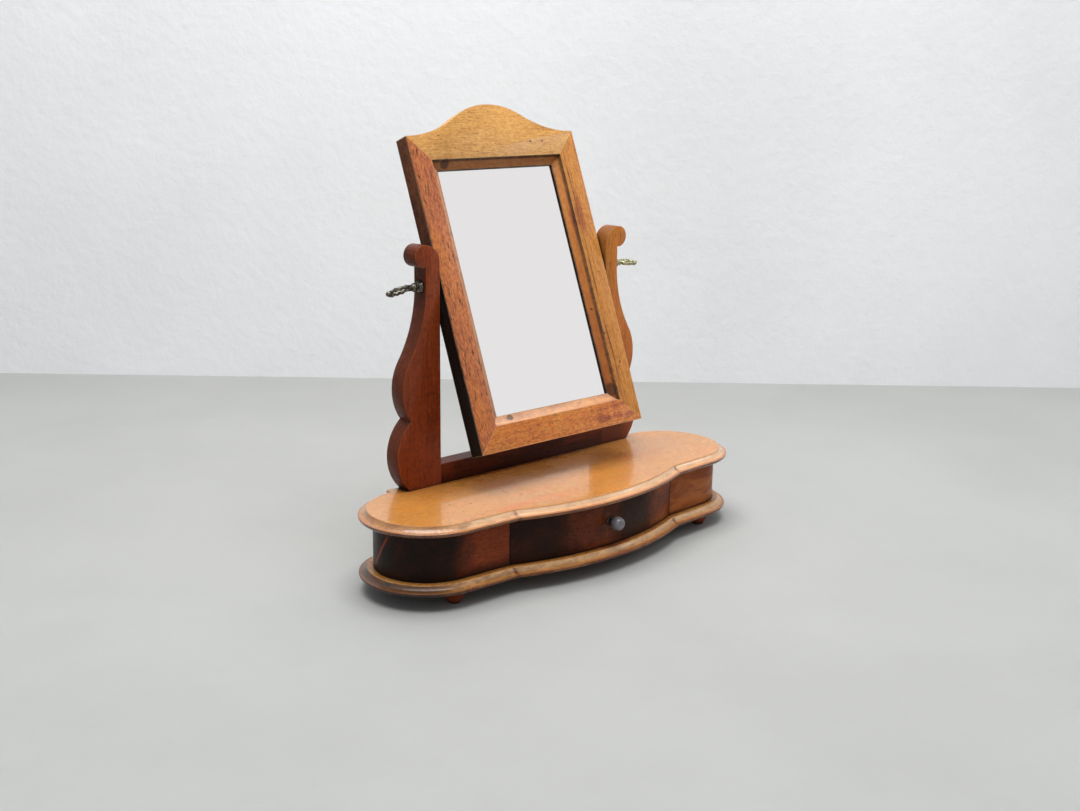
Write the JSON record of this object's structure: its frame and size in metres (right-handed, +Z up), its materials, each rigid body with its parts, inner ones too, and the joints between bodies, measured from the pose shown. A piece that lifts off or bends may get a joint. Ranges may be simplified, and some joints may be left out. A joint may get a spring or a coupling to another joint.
{
  "type": "dressing table mirror",
  "caption": "Table-top dressing mirror: a crested, mitred frame tilting between two scroll cut uprights on a lobed, bow fronted base with a drawer and turned feet.",
  "frame": {"origin": "on the floor plane, under the middle of the whole object's footprint with the mirror leaning back as shown", "axes": "+X to the right along the base's width, +Y to the back, +Z up; the drawer opens towards -Y"},
  "size_m": [0.4548, 0.2172, 0.4359],
  "materials": {
    "honey_wood": "french polished, honey coloured and worn",
    "orange_wood": "polished, orange brown with open dark pores",
    "red_wood": "polished, deep red brown with worn light edges",
    "dark_wood": "polished, near black brown patina",
    "plain_wood": "bare, unpolished secondary wood",
    "black_wood": "ebonised, satin",
    "silvered_glass": "plain silvered mirror",
    "old_brass": "cast, darkened by age",
    "iron": "plain iron screws and pins"
  },
  "bodies": {
    "stand": {"top_board": "honey_wood", "bottom_board": "red_wood", "end_wall_left": "dark_wood", "end_wall_right": "dark_wood", "back_panel": "plain_wood", "drawer_guide_left": "plain_wood", "drawer_guide_right": "plain_wood", "drawer_stops": "plain_wood", "foot_front_left": "dark_wood", "foot_front_right": "dark_wood", "foot_back_left": "dark_wood", "foot_back_right": "dark_wood", "upright_left": "red_wood", "upright_right": "red_wood", "lower_rail": "red_wood", "rail_dowels": "plain_wood", "upright_screws": "iron"},
    "drawer": {"drawer_front": "dark_wood", "drawer_side_left": "plain_wood", "drawer_side_right": "plain_wood", "drawer_back": "plain_wood", "drawer_bottom": "plain_wood", "drawer_knob": "black_wood", "knob_screw": "iron"},
    "mirror": {"frame_top_rail": "honey_wood", "frame_bottom_rail": "honey_wood", "frame_stile_left": "orange_wood", "frame_stile_right": "orange_wood", "mitre_dowels": "plain_wood", "mirror_glass": "silvered_glass", "mirror_backing": "plain_wood", "backing_pins": "iron", "pivot_bush_left": "old_brass", "pivot_bush_right": "old_brass"},
    "left_screw": {"ring_screw_left": "old_brass"},
    "right_screw": {"ring_screw_right": "old_brass"}
  },
  "joints": [
    {"name": "mirror_tilt", "type": "hinge", "parent": "stand", "child": "mirror", "pos_m": [0, 0.03855, 0.2723], "axis": [1, 0, 0], "range_deg": [-38, 55]},
    {"name": "drawer_slide", "type": "slide", "parent": "stand", "child": "drawer", "axis": [0, -1, 0], "range_m": [0, 0.08]},
    {"name": "left_screw_turn", "type": "hinge", "parent": "mirror", "child": "left_screw", "pos_m": [-0.1133, 0.03855, 0.2723], "axis": [-1, 0, 0], "range_deg": [0, 180]},
    {"name": "right_screw_turn", "type": "hinge", "parent": "mirror", "child": "right_screw", "pos_m": [0.1133, 0.03855, 0.2723], "axis": [1, 0, 0], "range_deg": [0, 180]}
  ]
}
